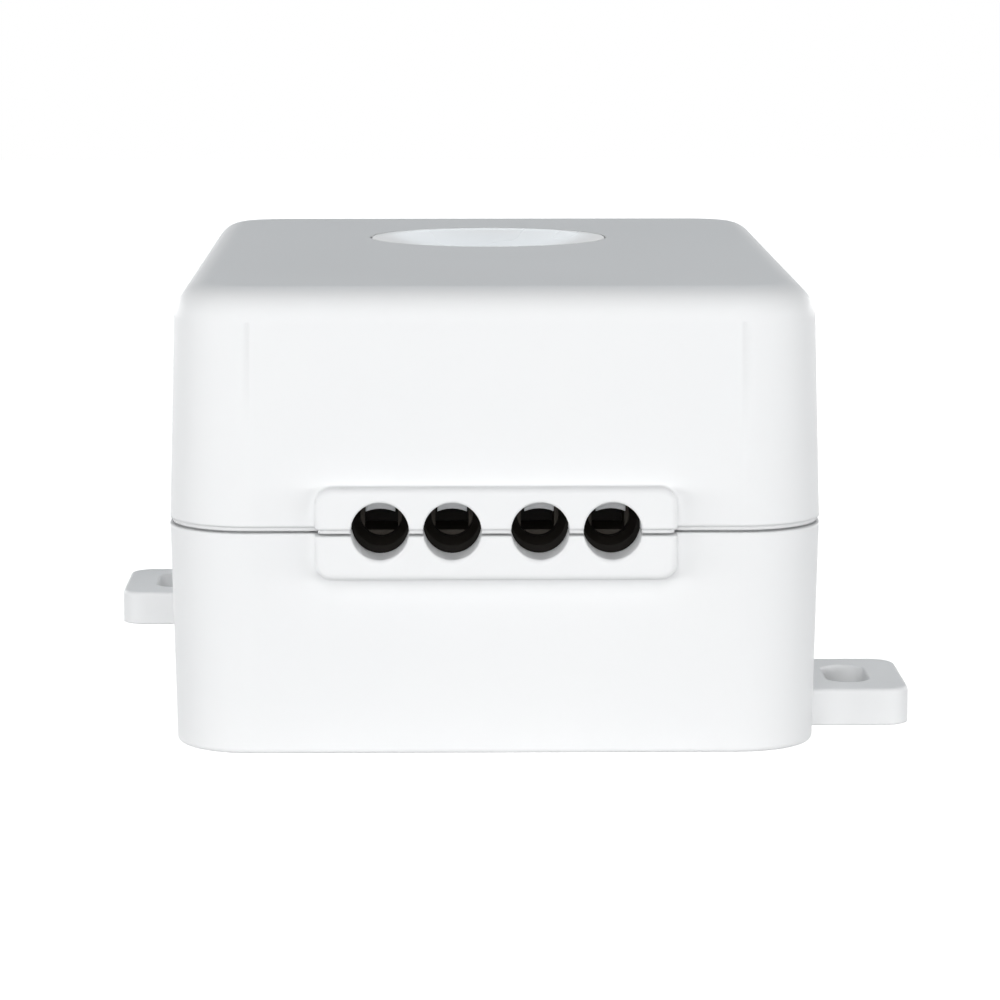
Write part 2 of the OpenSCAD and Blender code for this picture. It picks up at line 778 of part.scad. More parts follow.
module relay_base() {
  inside_w = relay_w - 2 * case_t - 2 * slip;
  inside_l = relay_l - 2 * case_t - 2 * slip;
  foot_d = 1.2;
  foot_x = inside_w / 2 - foot_d;
  foot_y = inside_l / 2 - 2 * foot_d;
  color("dimgray") in_relay() difference() {
    union() {
      translate([0, 0, relay_foot]) box([inside_w, inside_l, relay_floor - relay_foot]);
      for (x = [-1, 1], y = [-1, 1]) translate([x * foot_x, y * foot_y, 0])
        cylinder(d = foot_d, h = relay_floor - slip);
    }
    relay_pins(slip);
    yoke_pin(slip);
  }
}

module relay_case() {
  color("royalblue") in_relay() difference() {
    drafted_block(relay_w, relay_l, 0.8, relay_foot, relay_h, fillet_1 = 0.5);
    translate([0, 0, -over]) box([relay_w - 2 * case_t, relay_l - 2 * case_t, relay_h - case_t + over]);
  }
}

module relay_bobbin() {
  color("ivory") in_relay() translate([0, coil_y, coil_z]) difference() {
    union() {
      cylinder(d = core_d + 2 * coil_tube, h = coil_l);
      cylinder(d = coil_d, h = coil_flange);
      translate([0, 0, coil_l - coil_flange]) cylinder(d = coil_d, h = coil_flange);
    }
    translate([0, 0, -over]) cylinder(d = core_d + 2 * slip, h = coil_l + 2 * over);
  }
}

module relay_winding() {
  color("chocolate") in_relay() translate([0, coil_y, coil_z + coil_flange + slip]) difference() {
    cylinder(d = coil_d - 2 * coil_flange / 2, h = coil_l - 2 * (coil_flange + slip));
    translate([0, 0, -over]) cylinder(d = core_d + 2 * (coil_tube + slip), h = coil_l);
  }
}

module relay_core() {
  color("silver") in_relay() translate([0, coil_y, 0]) {
    translate([0, 0, relay_floor + yoke_t]) cylinder(d = core_d, h = pole_z - relay_floor - yoke_t + slip);
    translate([0, 0, pole_z]) cylinder(d = pole_d, h = pole_t);
  }
}

module relay_yoke() {
  color("silver") in_relay() {
    translate([-yoke_w / 2, yoke_front, relay_floor]) cube([yoke_w, yoke_t, yoke_top - relay_floor]);
    translate([-yoke_w / 2, coil_y - yoke_w / 2, relay_floor])
      cube([yoke_w, yoke_back - coil_y + yoke_w / 2, yoke_t]);
    yoke_pin(0);
  }
}

module relay_armature() {
  front = coil_y - pole_d;
  color("silver") in_relay() translate([-armature_w / 2, front, armature_z])
    cube([armature_w, yoke_back + fit - front, armature_t]);
}

module relay_contact_spring() {
  spring_w = 4.4;
  front = contact_y - contact_d / 2 - 2 * fit;
  back = coil_y + pole_d / 2;
  rivet_d = 1.2;
  rivet_h = 0.5;
  color("darkgoldenrod") in_relay() {
    translate([-spring_w / 2, front, spring_z]) cube([spring_w, back - front, spring_t]);
    translate([0, contact_y, spring_z - contact_t]) cylinder(d = contact_d, h = 2 * contact_t + spring_t);
    // rivets that hold the strip to the armature
    for (s = [-1, 1]) translate([s * rivet_d, coil_y, spring_z]) cylinder(d = rivet_d, h = rivet_h);
  }
}

// Two upright leaves, each with a tab that carries a fixed contact under or over the moving one
module relay_fixed_contacts() {
  open_top = spring_z - contact_t - contact_fall - contact_gap;
  closed_under = spring_z + spring_t + contact_t + contact_gap;
  tab_l = leaf_x + leaf_w / 2 + contact_d / 2;
  reach = contact_y + contact_d / 2 - leaf_y + leaf_t / 2;
  color("peru") in_relay() {
    relay_pins(0);
    translate([-leaf_x, leaf_y, 0]) box([leaf_w, leaf_t, open_top - contact_t]);
    translate([-leaf_x - leaf_w / 2, leaf_y - leaf_t / 2, open_top - contact_t - leaf_t])
      cube([tab_l, reach, leaf_t]);
    translate([0, contact_y, open_top - contact_t - slip]) cylinder(d = contact_d, h = contact_t + slip);
    translate([leaf_x, leaf_y, 0]) box([leaf_w, leaf_t, closed_under + contact_t + leaf_t]);
    translate([-contact_d / 2, leaf_y - leaf_t / 2, closed_under + contact_t])
      cube([tab_l, reach, leaf_t]);
    translate([0, contact_y, closed_under]) cylinder(d = contact_d, h = contact_t + slip);
  }
}

module in_transformer() {
  translate([transformer_x, transformer_y, transformer_z]) children();
}

// Two E-shaped halves that meet at mid height with a fine air gap
module transformer_core() {
  color("dimgray") in_transformer() difference() {
    box([core_w, core_t, core_h]);
    for (s = [-1, 1]) translate([s * (centre_leg + core_window) / 2, 0, outer_leg])
      box([core_window, 2 * core_t, core_h - 2 * outer_leg]);
    translate([0, 0, core_h / 2]) box([2 * core_w, 2 * core_t, slip]);
  }
}

// Spool round the middle leg, on two rails that carry the pins
module transformer_bobbin() {
  flange_w = centre_leg + 2 * core_window - 2 * fit;
  tube_w = centre_leg + 2 * (fit + bobbin_tube);
  tube_l = core_t + 2 * (fit + bobbin_tube);
  rail_in = core_t / 2 + 2 * fit;
  rail_w = core_w - 2 * fit;
  color("black") in_transformer() difference() {
    union() {
      for (z = [bobbin_low, bobbin_high - bobbin_flange])
        translate([0, 0, z]) box([flange_w, bobbin_d, bobbin_flange]);
      translate([0, 0, bobbin_low]) box([tube_w, tube_l, bobbin_high - bobbin_low]);
      for (s = [-1, 1]) {
        translate([0, s * (rail_in + bobbin_d / 2) / 2, -transformer_lift])
          box([rail_w, bobbin_d / 2 - rail_in, transformer_lift + bobbin_low + bobbin_flange]);
        translate([0, s * (bobbin_d / 2 - bobbin_pin_in), -transformer_lift]) lead_pair(bobbin_lead);
      }
    }
    translate([0, 0, -over]) box([centre_leg + 2 * fit, core_t + 2 * fit, core_h + 2 * over]);
  }
}

module transformer_winding() {
  winding_w = centre_leg + 2 * core_window - 6 * fit;
  winding_l = bobbin_d - bobbin_flange;
  low = bobbin_low + bobbin_flange + slip;
  high = bobbin_high - bobbin_flange - slip;
  color("khaki") in_transformer() difference() {
    drafted_block(winding_w, winding_l, 2 * outer_leg / 2, low, high);
    translate([0, 0, low - over]) box([
      centre_leg + 2 * (fit + bobbin_tube + slip),
      core_t + 2 * (fit + bobbin_tube + slip),
      core_h
    ]);
  }
}

// Axial resistor that lies on the board, its leads bent down
module fusible_resistor() {
  lie = board_top + resistor_d / 2 + fit;
  cap_l = 1.8;
  waist = 0.2;
  color("slategray") translate([resistor_x, guard_row, lie]) {
    rotate([0, 90, 0]) rotate_extrude() {
      for (y = [-resistor_l / 2, resistor_l / 2 - cap_l])
        translate([0, y]) square([resistor_d / 2, cap_l]);
      translate([0, -resistor_l / 2]) square([resistor_d / 2 - waist, resistor_l]);
      translate([0, -resistor_spread / 2]) square([lead_d / 2, resistor_spread]);
    }
    for (s = [-1, 1]) translate([s * resistor_spread / 2, 0, 0]) {
      translate([0, 0, lead_end - lie]) cylinder(d = lead_d, h = lie - lead_end);
      sphere(d = lead_d, $fn = 24);
    }
  }
}

// Coated disc on two leads
module varistor() {
  lift = 1.2;
  edge = 1;
  middle = board_top + lift + varistor_d / 2;
  color("navy") translate([varistor_x, guard_row, middle]) {
    rotate([90, 0, 0]) rotate_extrude() {
      translate([0, -varistor_t / 2]) square([varistor_d / 2 - edge, varistor_t]);
      translate([0, edge - varistor_t / 2]) square([varistor_d / 2, varistor_t - 2 * edge]);
      for (s = [-1, 1]) translate([varistor_d / 2 - edge, s * (varistor_t / 2 - edge)]) circle(edge);
    }
    for (s = [-1, 1]) translate([s * varistor_lead / 2, 0, lead_end - middle])
      cylinder(d = lead_d, h = middle - lead_end - edge);
  }
}

// Electrolytic can with its rolled groove and stepped end, standing on a rubber bung
module electrolytic(d, h, spread) {
  groove = 0.5;
  groove_z = 2.2;
  groove_out = 0.2;
  shoulder = 0.6;
  bung = 0.5;
  bung_in = 0.8;
  translate([0, 0, board_top]) {
    cylinder(d = d - 2 * bung_in, h = bung + over);
    translate([0, 0, bung]) rotate_extrude() difference() {
      union() {
        square([d / 2, h - bung - shoulder]);
        square([d / 2 - shoulder, h - bung]);
        translate([d / 2 - shoulder, h - bung - shoulder]) circle(shoulder);
      }
      translate([d / 2 + groove_out, groove_z]) circle(groove);
    }
    lead_pair(spread);
  }
}

module mains_capacitor() {
  color("black") translate([mains_cap_x, mains_cap_y, 0])
    electrolytic(mains_cap_d, mains_cap_h, mains_lead);
}

module output_capacitor() {
  color("darkslategray") translate([output_cap_x, output_cap_y, 0])
    electrolytic(output_cap_d, output_cap_h, output_lead);
}

// Moulded box on two short feet
module film_capacitor() {
  foot = 0.4;
  foot_w = 1.2;
  corner = 0.5;
  edge = 0.3;
  color("goldenrod") translate([film_x, film_y, board_top]) {
    drafted_block(film_w, film_t, corner, foot, film_h, fillet_1 = edge);
    for (s = [-1, 1]) translate([s * (film_w / 2 - foot_w), 0, 0])
      box([foot_w, film_t - 2 * corner, foot + over]);
    lead_pair(film_lead);
  }
}

// Moulded body with a row of bent leads along each long side, soldered flat on the board
module flat_package(w, l, h, leads, pitch) {
  lead_w = pitch * 0.35;
  lead_t = 0.2;
  lead_out = 0.5;
  toe = 0.5;
  lift = 0.15;
  translate([0, 0, lift]) box([w, l, h]);
  for (side = [0, 1], i = [0:leads - 1]) mirror([0, side, 0])
    translate([(i - (leads - 1) / 2) * pitch - lead_w / 2, l / 2, 0]) {
      translate([0, -over / 2, h / 2]) cube([lead_w, over / 2 + lead_out, lead_t]);
      translate([0, lead_out - lead_t, 0]) cube([lead_w, lead_t, h / 2 + lead_t]);
      translate([0, lead_out - lead_t, 0]) cube([lead_w, toe + lead_t, lead_t]);
    }
}

// Under the board, below the film capacitor
module bridge_rectifier() {
  color("black") translate([film_x, film_y, board_z]) mirror([0, 0, 1])
    flat_package(rectifier_w, rectifier_l, rectifier_h, 2, rectifier_pitch);
}

// Under the board, below the transformer
module supply_chip() {
  color("black") translate([transformer_x, transformer_y, board_z]) mirror([0, 0, 1])
    flat_package(chip_w, chip_l, chip_h, 4, chip_pitch);
}

module radio_board() {
  color("darkgreen") difference() {
    translate([0, radio_y, board_top]) box([radio_l, radio_t, radio_h]);
    for (i = [0:header_pins - 1]) translate([pin_x(i), radio_y - radio_t, board_top + header_w / 2])
      rotate([-90, 0, 0]) cylinder(d = lead_d + 2 * slip, h = 2 * radio_t, $fn = 24);
  }
}

// Folded sheet can, open towards the radio board
module radio_shield() {
  shield_l = 13.2;
  shield_h = 10;
  shield_x = radio_l / 2 - shield_in - shield_l / 2;
  shield_z = board_top + radio_h - shield_in - shield_h;
  sheet = 0.25;
  color("silver") translate([shield_x, radio_y - radio_t / 2 - shield_t / 2, shield_z]) difference() {
    box([shield_l, shield_t, shield_h]);
    translate([0, sheet, sheet]) box([shield_l - 2 * sheet, shield_t, shield_h - 2 * sheet]);
  }
}

// Plastic strip beside the radio board, with pins into both boards
module radio_header() {
  pin_out = 0.5;
  color("black") {
    translate([header_x, header_y, board_top]) box([header_l, header_w, header_w]);
    for (i = [0:header_pins - 1]) {
      translate([pin_x(i), header_y, lead_end]) cylinder(d = lead_d, h = board_top + over - lead_end);
      translate([pin_x(i), radio_y - radio_t / 2 - pin_out, board_top + header_w / 2]) rotate([-90, 0, 0])
        cylinder(d = lead_d, h = radio_t + pin_out + over);
    }
  }
}

module switch_body() {
  well = 0.9;
  color("black") translate([0, button_y, board_top]) difference() {
    box([switch_w, switch_w, switch_body_h - frame_t]);
    translate([0, 0, well]) cylinder(d = plunger_foot_d + 2 * fit, h = switch_body_h);
  }
}

// Steel plate over the switch, its four legs bent down into the board
module switch_frame() {
  plate_z = board_top + switch_body_h - frame_t;
  color("silver") translate([0, button_y, 0]) {
    translate([0, 0, plate_z]) difference() {
      union() {
        box([switch_w, switch_w, frame_t]);
        for (t = [-1, 1]) translate([0, t * leg_y, 0]) box([2 * leg_x + leg_t, leg_w, frame_t]);
      }
      translate([0, 0, -over]) cylinder(d = plunger_d + 2 * fit, h = frame_t + 2 * over);
    }
    for (s = [-1, 1], t = [-1, 1]) translate([s * leg_x, t * leg_y, lead_end])
      box([leg_t, leg_w, plate_z + frame_t / 2 - lead_end]);
  }
}

// Long plunger, kept in by its wider foot
module switch_plunger() {
  foot_z = 1.4;
  foot_h = 0.8;
  color("black") translate([0, button_y, board_top + foot_z]) {
    cylinder(d = plunger_d, h = switch_h - foot_z);
    cylinder(d = plunger_foot_d, h = foot_h);
  }
}

// Surface-mounted lamp with its conical reflector
module indicator_led() {
  color("whitesmoke") translate([0, led_y, board_top]) difference() {
    box([led_w, led_l, led_h]);
    translate([0, 0, led_h - led_eye_h]) cylinder(d1 = led_eye_floor, d2 = led_eye_d, h = led_eye_h + slip);
  }
}

base_shell();
cover_shell();
push_button();
cover_screws();
circuit_board();
board_screws();
terminal_block(-1);  // terminal_block_left
terminal_block(1);  // terminal_block_right
for (i = [1:4]) {
  terminal_screw(entry_x[i - 1]);
  wire_cage(entry_x[i - 1]);
}
terminal_tails();
relay_base();
relay_case();
relay_bobbin();
relay_winding();
relay_core();
relay_yoke();
relay_armature();
relay_contact_spring();
relay_fixed_contacts();
transformer_core();
transformer_bobbin();
transformer_winding();
fusible_resistor();
varistor();
mains_capacitor();
film_capacitor();
output_capacitor();
bridge_rectifier();
supply_chip();
radio_board();
radio_shield();
radio_header();
switch_body();
switch_frame();
switch_plunger();
indicator_led();
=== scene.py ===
import math

import bmesh
import bpy
from mathutils import Matrix, Vector


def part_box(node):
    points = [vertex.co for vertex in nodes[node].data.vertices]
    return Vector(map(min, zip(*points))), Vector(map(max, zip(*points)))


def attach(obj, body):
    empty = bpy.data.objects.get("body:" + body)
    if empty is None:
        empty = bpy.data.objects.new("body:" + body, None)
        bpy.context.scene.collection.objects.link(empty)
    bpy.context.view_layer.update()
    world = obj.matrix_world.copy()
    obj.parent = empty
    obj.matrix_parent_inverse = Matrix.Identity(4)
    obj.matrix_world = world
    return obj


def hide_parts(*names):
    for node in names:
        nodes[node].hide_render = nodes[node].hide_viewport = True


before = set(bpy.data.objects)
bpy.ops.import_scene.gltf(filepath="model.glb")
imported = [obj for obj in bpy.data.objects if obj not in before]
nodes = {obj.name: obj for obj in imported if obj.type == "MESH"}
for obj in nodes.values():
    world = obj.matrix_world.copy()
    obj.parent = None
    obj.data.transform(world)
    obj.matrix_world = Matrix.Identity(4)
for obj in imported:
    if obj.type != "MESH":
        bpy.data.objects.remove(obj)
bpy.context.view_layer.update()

# Camera: a long lens a little above the roof, almost square to the cable end.
# The lens is in millimetres on a 36 mm sensor, places are in metres.
camera_lens = 146.8
camera_place = (-0.00402, -0.31705, 0.05946)
camera_dip = math.radians(8.28)
camera_turn = math.radians(-0.868)

camera = bpy.data.objects.new("camera", bpy.data.cameras.new("camera"))
camera.data.sensor_width = 36
camera.data.lens = camera_lens
camera.data.clip_start = 0.01
camera.data.clip_end = 50
camera.location = camera_place
camera.rotation_euler = (math.pi / 2 - camera_dip, 0, camera_turn)
bpy.context.scene.collection.objects.link(camera)
bpy.context.scene.camera = camera
bpy.context.scene.view_settings.view_transform = "Standard"


# Table and light: a wide white table among soft boxes, with the main one in front.
# The table and the room are white to the camera and in reflections, and the table keeps the shadow.
# From below the table is clear, so that the module's foot shows.
class Wire:
    """One socket of a node tree: arithmetic on it adds Math nodes, and node() adds any other."""

    def __init__(self, tree, socket=None):
        self.tree = tree
        self.socket = socket

    def node(self, kind, settings=None, inputs=None, out=0):
        made = self.tree.nodes.new("ShaderNode" + kind)
        for name, value in (settings or {}).items():
            setattr(made, name, value)
        for name, value in (inputs or {}).items():
            if isinstance(value, Wire):
                self.tree.links.new(value.socket, made.inputs[name])
            else:
                made.inputs[name].default_value = value
        return Wire(self.tree, made.outputs[out] if made.outputs else None)

    def math(self, operation, *values):
        return self.node("Math", {"operation": operation}, dict(enumerate(values)))

    def __add__(self, other):
        return self.math("ADD", self, other)

    __radd__ = __add__

    def __sub__(self, other):
        return self.math("SUBTRACT", self, other)

    def __rsub__(self, other):
        return self.math("SUBTRACT", other, self)

    def __mul__(self, other):
        return self.math("MULTIPLY", self, other)

    __rmul__ = __mul__

    def __gt__(self, other):
        return self.math("GREATER_THAN", self, other)

    def __lt__(self, other):
        return self.math("LESS_THAN", self, other)

    def __or__(self, other):
        return self.math("MAXIMUM", self, other)

    def __and__(self, other):
        return self.math("MINIMUM", self, other)

    def __abs__(self):
        return self.math("ABSOLUTE", self)


def seen_directly(tree):
    """1 for what the camera, a reflection or clear plastic shows, 0 for what lights the object."""
    path = [Wire(tree).node("LightPath", out=name)
            for name in ("Is Camera Ray", "Is Glossy Ray", "Is Transmission Ray")]
    return path[0] | path[1] | path[2]


room_level = 0.02
room_tint = (0.8, 1, 1.2, 1)
room = bpy.data.worlds.new("room")
room.use_nodes = True
room.node_tree.nodes.clear()
bpy.context.scene.world = room
wire = Wire(room.node_tree)
dim_room = wire.node("Background", None, {"Color": room_tint, "Strength": room_level})
white_room = wire.node("Background", None, {"Color": (1, 1, 1, 1), "Strength": 1})
shown_room = wire.node("MixShader", None, {0: seen_directly(room.node_tree), 1: dim_room, 2: white_room})
wire.node("OutputWorld", None, {"Surface": shown_room})

table_size = 1.3
table_colour = (0.7, 0.7, 0.7, 1)
table_glow = 0.9
bpy.ops.mesh.primitive_plane_add(size=table_size)
table = bpy.context.active_object
table.name = "table"
table_finish = bpy.data.materials.new("table")
table_finish.use_nodes = True
table_finish.node_tree.nodes.clear()
wire = Wire(table_finish.node_tree)
table_matt = wire.node("BsdfDiffuse", None, {"Color": table_colour})
table_glowing = wire.node("Emission", None, {"Color": (1, 1, 1, 1), "Strength": table_glow})
table_lifted = wire.node("AddShader", None, {0: table_matt, 1: table_glowing})
table_shown = wire.node("MixShader", None, {0: seen_directly(wire.tree), 1: table_matt, 2: table_lifted})
from_below = wire.node("NewGeometry", out="Backfacing")
table_clear = wire.node("BsdfTransparent")
table_one_sided = wire.node("MixShader", None, {0: from_below, 1: table_shown, 2: table_clear})
wire.node("OutputMaterial", None, {"Surface": table_one_sided})
table.data.materials.append(table_finish)


aim = Vector((0, 0, 0.016))
box_distance = 1.0


def soft_box(name, azimuth, elevation, width, height, level, tint=(1, 1, 1)):
    """A lamp facing the module; at level 1 it alone shows a surface facing it in its own colour."""
    a = math.radians(azimuth)
    e = math.radians(elevation)
    towards = Vector((math.sin(a) * math.cos(e), -math.cos(a) * math.cos(e), math.sin(e)))
    lamp = bpy.data.lights.new(name, "AREA")
    lamp.shape = "RECTANGLE"
    lamp.size = width
    lamp.size_y = height
    lamp.color = tint
    lamp.energy = level * (math.pi * box_distance) ** 2
    box = bpy.data.objects.new(name, lamp)
    box.location = aim + towards * box_distance
    box.rotation_euler = towards.to_track_quat("Z", "Y").to_euler()
    bpy.context.scene.collection.objects.link(box)


soft_box("front_box", azimuth=-2, elevation=22, width=0.6, height=0.82, level=0.54)
soft_box("left_box", azimuth=-60, elevation=5, width=1.1, height=0.2, level=0.52)
soft_box("right_box", azimuth=60, elevation=5, width=1.1, height=0.2, level=0.48)
soft_box("back_box", azimuth=178, elevation=40, width=0.5, height=0.5, level=0.14,
         tint=(0.88, 0.98, 1.05))
soft_box("back_left_box", azimuth=-145, elevation=5, width=0.5, height=0.2, level=0.26)
soft_box("back_right_box", azimuth=145, elevation=5, width=0.5, height=0.2, level=0.2)


# Base shell: white ABS, injection moulded in a spark-eroded tool, with its ears in one piece.
# The skin has a very fine grain and a satin gloss that wanders a little, and its edges are broken
# by a small radius.
def finish_of(name):
    """A new material, and a wire that carries its Object coordinates."""
    material = bpy.data.materials.new(name)
    material.use_nodes = True
    material.node_tree.nodes.clear()
    return material, Wire(material.node_tree).node("TexCoord", out="Object")


def surface(place, colour, roughness, **others):
    """The one Principled surface of a finish, with each setting by its socket's name."""
    named = {name.replace("_", " ").title().replace("Ior", "IOR"): v for name, v in others.items()}
    if not isinstance(colour, Wire):
        colour = (*colour, 1)
    shader = place.node("BsdfPrincipled", None, {"Base Color": colour, "Roughness": roughness, **named})
    place.node("OutputMaterial", None, {"Surface": shader})


def noise(place, size, detail=2):
    """Cloudy values about 0.5 with lumps of about that size."""
    inputs = {"Vector": place, "Scale": 1 / size, "Detail": detail}
    return place.node("TexNoise", None, inputs, out="Fac")


def mix(factor, a, b):
    """Colour a where the factor is 0, colour b where it is 1."""
    colours = {i: c if isinstance(c, Wire) else (*c, 1) for i, c in ((6, a), (7, b))}
    return factor.node("Mix", {"data_type": "RGBA"}, {0: factor, **colours}, out=2)


def dents(height, depth, under=None):
    """A normal that shows the height, of 0 to 1, as relief that deep, on the plain normal or under."""
    inputs = {"Height": height, "Strength": 1, "Distance": depth}
    if under:
        inputs["Normal"] = under
    return height.node("Bump", None, inputs, out="Normal")


def dress(material, *names):
    """Gives the finish to CAD nodes."""
    for name in names:
        nodes[name].data.materials.clear()
        nodes[name].data.materials.append(material)


shell_white = (0.875, 0.88, 0.882)
shell_shade = (0.855, 0.862, 0.868)
shell_cloud = 0.018
shell_grain = 0.00022
shell_grain_depth = 0.000002
shell_edge = 0.00032

shell_finish, place = finish_of("shell_white")
wander = noise(place, shell_cloud)
grain = noise(place, shell_grain, detail=4)
soft_edges = place.node("Bevel", {"samples": 8}, {"Radius": shell_edge})
surface(place, mix(wander, shell_shade, shell_white), 0.42 + wander * 0.1, specular_ior_level=0.15,
        normal=dents(grain, shell_grain_depth, soft_edges))
dress(shell_finish, "base_shell")


# Circuit board: glass laminate with copper under green solder resist, white outlines printed round
# the parts and tinned rings at the leads that show. It sits on the base's four posts.
def axes(place):
    """The three Object coordinates."""
    return [place.node("SeparateXYZ", None, {0: place}, out=i) for i in range(3)]


def outside(x, y, low, high):
    """Distance outside a rectangle, below 0 within it."""
    return (abs(x - (low[0] + high[0]) / 2) - (high[0] - low[0]) / 2
            | abs(y - (low[1] + high[1]) / 2) - (high[1] - low[1]) / 2)


def within(x, y, middle, radius):
    """1 inside a circle."""
    return (x - middle[0]) * (x - middle[0]) + (y - middle[1]) * (y - middle[1]) < radius * radius


def middle_of(name):
    """The middle of a CAD node's box."""
    low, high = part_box(name)
    return (Vector(low) + Vector(high)) / 2


resist_green = (0.008, 0.075, 0.03)
copper_green = (0.016, 0.125, 0.05)
silk_white = (0.7, 0.71, 0.69)
tin = (0.66, 0.65, 0.62)
silk_gap = 0.00025
silk_line = 0.00017
pour_size = 0.0045
pour_gap = 0.03
pad_r = 0.00075
board_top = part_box("circuit_board")[1][2]
outlined = ("terminal_block_left", "terminal_block_right", "relay_case", "transformer_bobbin", "varistor",
            "film_capacitor", "radio_header", "switch_body", "indicator_led")
rounded = ("mains_capacitor", "output_capacitor")
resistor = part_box("fusible_resistor")
lead_r = 0.00035
varistor_lead_x = 0.0025
print_t = 0.00005
pad_places = [(end + inwards * lead_r, middle_of("fusible_resistor").y)
              for end, inwards in ((resistor[0][0], 1), (resistor[1][0], -1))]
pad_places += [(middle_of("varistor").x + side * varistor_lead_x, middle_of("varistor").y)
               for side in (-1, 1)]

board_finish, place = finish_of("board_green")
x, y, z = axes(place)
cell_edge = place.node("TexVoronoi", {"feature": "DISTANCE_TO_EDGE", "voronoi_dimensions": "2D"},
                       {"Vector": place, "Scale": 1 / pour_size, "Randomness": 0.8}, out="Distance")
poured = cell_edge > pour_gap
printed = x < -1
for name in outlined:
    gap = outside(x, y, *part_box(name))
    printed = printed | ((gap > silk_gap) & (gap < silk_gap + silk_line))
for name in rounded:
    half = (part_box(name)[1][0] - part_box(name)[0][0]) / 2
    ring = within(x, y, middle_of(name), half + silk_gap + silk_line)
    printed = printed | (ring - within(x, y, middle_of(name), half + silk_gap))
tinned = x < -1
for at in pad_places:
    tinned = tinned | within(x, y, at, pad_r)
printed = printed & (z > board_top - print_t)
weave = noise(place, 0.0006)
skin = mix(printed, mix(poured, resist_green, copper_green), silk_white)
surface(place, mix(tinned, skin, tin), 0.28 + weave * 0.12 + printed * 0.3, metallic=tinned,
        normal=dents(poured * 0.7 + weave * 0.3, 0.00002))
dress(board_finish, "circuit_board")


# Board screws: zinc-plated steel with a cross recess, driven down into two of the base's posts.
# The plating is bright, with faint cloudy stains from its bath.
zinc_light = (0.66, 0.66, 0.64)
zinc_dull = (0.5, 0.51, 0.52)

zinc_finish, place = finish_of("zinc_steel")
stain = noise(place, 0.0012, detail=5)
surface(place, mix(stain, zinc_dull, zinc_light), 0.24 + stain * 0.22, metallic=1,
        normal=dents(noise(place, 0.0002), 0.000004))
dress(zinc_finish, "board_screws")


# Terminal blocks: black flame-proof nylon, moulded, with a chamber and a wire mouth for each pole.
# They stand on the board right behind the cable entries, held by the tails of their conductors.
block_finish, place = finish_of("terminal_black")
wander = noise(place, 0.004)
# The nylon is near black, and its warm brown tint is painted shade: the dim light inside the cable entries.
surface(place, mix(wander, (0.019, 0.0165, 0.014), (0.025, 0.0215, 0.018)), 0.55 + wander * 0.16,
        specular_ior_level=0.25, normal=dents(noise(place, 0.00015), 0.000004))
dress(block_finish, "terminal_block_left", "terminal_block_right")


# Fixed conductors: stamped copper with a tin plate, bent once and pushed up into the blocks.
# The plate is soft and milky, with marks along the strip.
tinned_finish, place = finish_of("tinned_copper")
stain = noise(place, 0.0009, detail=4)
surface(place, mix(stain, (0.56, 0.53, 0.48), tin), 0.3 + stain * 0.2, metallic=1,
        normal=dents(noise(place, 0.0003), 0.000006))
dress(tinned_finish, "terminal_tails")


# Wire cages: folded steel blackened with oil, one round each conductor; the screw draws it up.
# The oxide is dark and a little patchy, and thinner where the cage slides.
# Its warm brown tint is painted shade: the dim light inside the cable entries.
cage_finish, place = finish_of("cage_black")
patch = noise(place, 0.0007, detail=4)
surface(place, mix(patch, (0.06, 0.051, 0.041), (0.1, 0.086, 0.07)), 0.5 + patch * 0.2, metallic=0.3,
        normal=dents(patch, 0.000006))
dress(cage_finish, *[f"wire_cage_{i}" for i in range(1, 5)])


# Terminal screws: slotted steel screws with the same zinc plate, one above each cage.
# Their slots and rims are scuffed to bright steel by the driver.
clamp_finish, place = finish_of("clamp_zinc")
stain = noise(place, 0.0009, detail=5)
scuff = noise(place, 0.00025, detail=3) > 0.58
surface(place, mix(scuff, mix(stain, zinc_dull, zinc_light), (0.74, 0.74, 0.73)), 0.22 + stain * 0.24,
        metallic=1, normal=dents(stain, 0.000008))
dress(clamp_finish, *[f"terminal_screw_{i}" for i in range(1, 5)])


# Relay: a moulded black base and ivory coil bobbin carry an iron frame, under a clear smoky case.
# The armature rocks on the frame's edge and works a bronze strip between two fixed contacts.
relay_black, place = finish_of("relay_base_black")
wander = noise(place, 0.003)
surface(place, mix(wander, (0.022, 0.022, 0.024), (0.034, 0.034, 0.036)), 0.45 + wander * 0.15,
        normal=dents(noise(place, 0.0002), 0.000005))
dress(relay_black, "relay_base", "transformer_bobbin")

ivory_finish, place = finish_of("bobbin_ivory")
wander = noise(place, 0.003)
surface(place, mix(wander, (0.68, 0.62, 0.48), (0.76, 0.71, 0.58)), 0.4 + wander * 0.1,
        normal=dents(noise(place, 0.0002), 0.000004))
dress(ivory_finish, "relay_bobbin")

iron_finish, place = finish_of("relay_iron")
stain = noise(place, 0.0015, detail=5)
surface(place, mix(stain, (0.42, 0.42, 0.4), (0.56, 0.56, 0.54)), 0.26 + stain * 0.2, metallic=1,
        normal=dents(noise(place, 0.0002), 0.000004))
dress(iron_finish, "relay_core", "relay_yoke", "relay_armature")

silver = (0.76, 0.75, 0.72)
contact_r = 0.00102
contact_in = 0.0012
bronze_finish, place = finish_of("spring_bronze")
x, y, z = axes(place)
stain = noise(place, 0.001, detail=4)
moving_low, moving_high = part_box("relay_contact_spring")
tip = (moving_low[0] + moving_high[0]) / 2, moving_low[1] + contact_in
contact = within(x, y, tip, contact_r)
surface(place, mix(contact, mix(stain, (0.52, 0.27, 0.1), (0.64, 0.37, 0.16)), silver), 0.24 + stain * 0.16,
        metallic=1, normal=dents(noise(place, 0.0004), 0.000004))
dress(bronze_finish, "relay_contact_spring", "relay_fixed_contacts")

